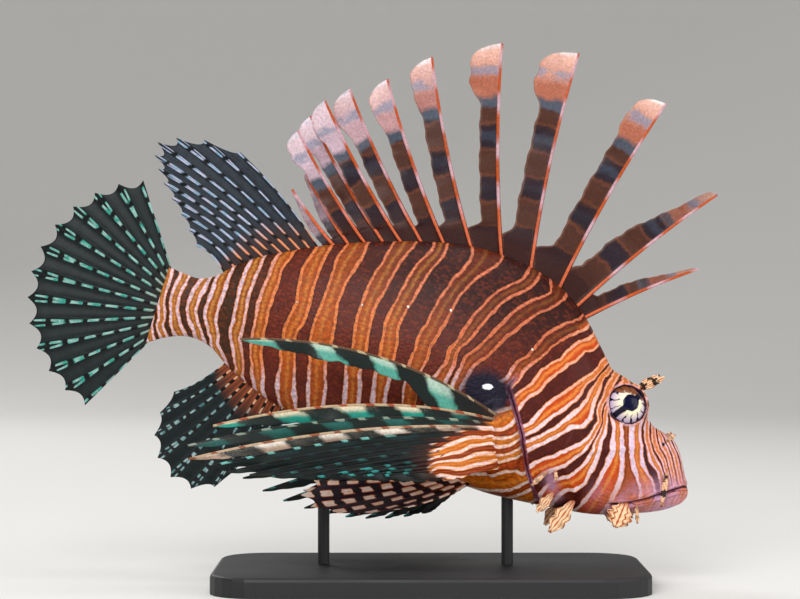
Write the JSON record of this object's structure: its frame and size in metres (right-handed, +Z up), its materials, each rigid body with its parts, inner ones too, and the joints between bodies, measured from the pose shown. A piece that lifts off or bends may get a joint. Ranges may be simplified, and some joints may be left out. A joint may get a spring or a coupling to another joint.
{
  "type": "red lionfish model",
  "caption": "Still, life-size red lionfish, nose slightly down with every fin spread, on a flat display stand with short rods.",
  "frame": {"origin": "middle of the stand base's flat underside", "axes": "+X towards the snout's side and the longest extent, +Y to the fish's left, +Z up"},
  "size_m": [0.2858, 0.1407, 0.2211],
  "materials": {
    "skin": "satin, wet-looking fish skin with fine scales, striped red-brown, orange and white",
    "fin": "thin satin membrane over rays, dark with pale dashes",
    "pennant": "satin spines with banded membrane and pale tips",
    "flap": "soft satin skin flaps, cream with orange veins",
    "eye": "clear glossy cornea over a dark pupil and a pale spoked iris",
    "stand": "fine matt black paint"
  },
  "bodies": {
    "root": {"head": "skin", "lower_jaw": "skin", "trunk": "skin", "tail_stem": "skin", "eye_left": "eye", "eye_right": "eye", "spiny_dorsal_fin": "pennant", "soft_dorsal_fin": "fin", "anal_fin": "fin", "caudal_fin": "fin", "pectoral_fin_left": "fin", "pectoral_fin_right": "fin", "pelvic_fin_left": "fin", "pelvic_fin_right": "fin", "brow_tentacle_left": "flap", "brow_tentacle_right": "flap", "snout_barbel_left": "flap", "snout_barbel_right": "flap", "lip_flap_left": "flap", "lip_flap_right": "flap", "cheek_flap_left": "flap", "cheek_flap_right": "flap", "gill_flap_left": "flap", "gill_flap_right": "flap", "stand_base": "stand", "stand_rod_front": "stand", "stand_rod_rear": "stand"}
  },
  "joints": []
}
